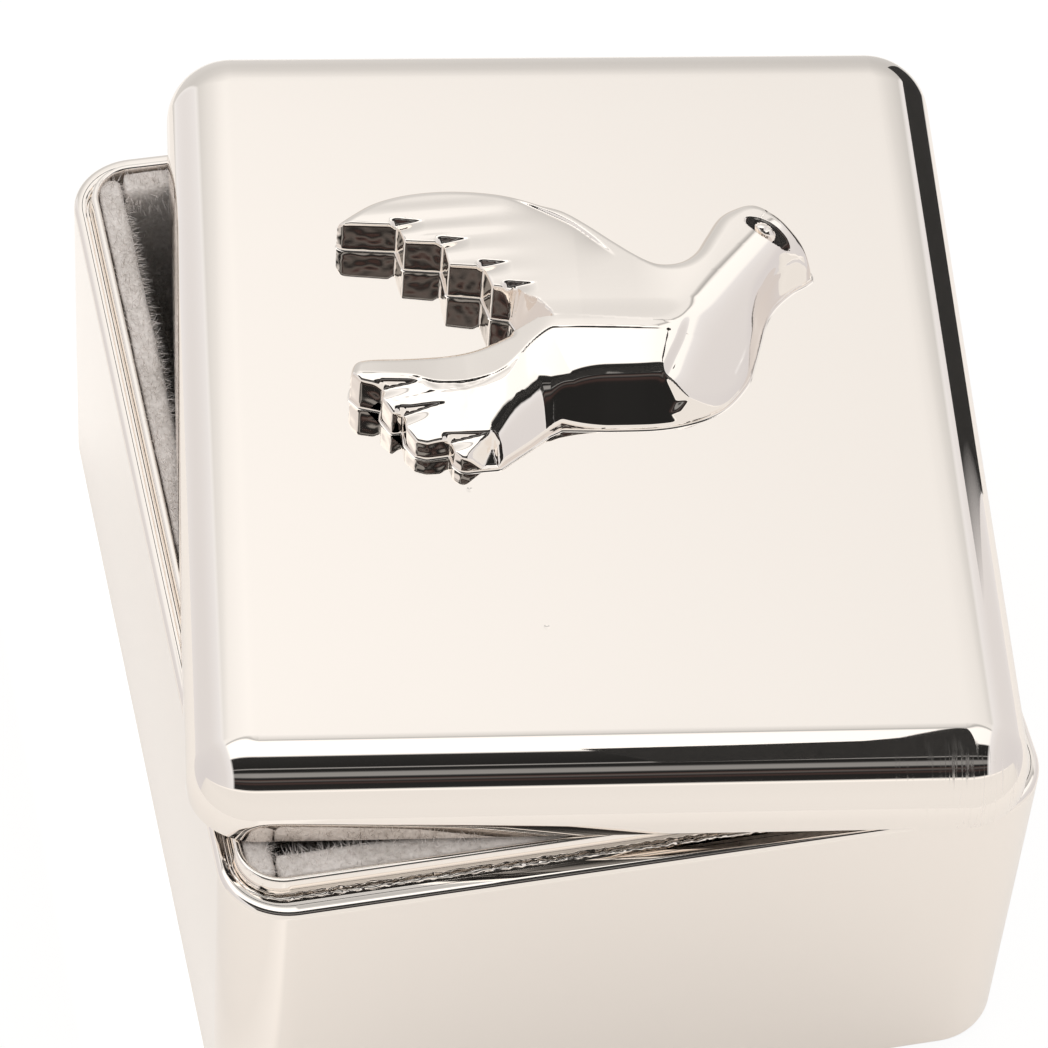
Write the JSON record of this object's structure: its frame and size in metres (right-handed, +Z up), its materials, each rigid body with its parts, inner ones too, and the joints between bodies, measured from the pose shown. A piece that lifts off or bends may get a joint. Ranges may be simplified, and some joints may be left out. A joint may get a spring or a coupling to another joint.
{
  "type": "rosary box",
  "caption": "Plated keepsake box for a rosary, with a plush-lined base and a lift-off lid that carries a cast dove.",
  "frame": {"origin": "centre of the underside, on the face that the box stands on", "axes": "+Z up, X across the width, Y along the depth with -Y at the front; the lid lies askew on the lip at rest"},
  "size_m": [0.0653, 0.0759, 0.0403],
  "materials": {
    "silver_plate": "polished",
    "plush": "short pile",
    "board": "plain",
    "felt": "felt",
    "spring_steel": "plain"
  },
  "bodies": {
    "base": {"base_shell": "silver_plate", "rim_ring": "silver_plate", "underside_pad": "felt", "left_wall_board": "board", "right_wall_board": "board", "front_wall_board": "board", "back_wall_board": "board", "floor_board": "board", "left_wall_plush": "plush", "right_wall_plush": "plush", "front_wall_plush": "plush", "back_wall_plush": "plush", "floor_plush": "plush"},
    "lid": {"lid_shell": "silver_plate", "dove_casting": "silver_plate", "stud_retainers": "spring_steel", "lid_board": "board", "lid_plush": "plush"}
  },
  "joints": [
    {"name": "lid_lift", "type": "slide", "parent": "base", "child": "lid", "axis": [0, 0, 1], "range_m": [0, 0.06]}
  ]
}
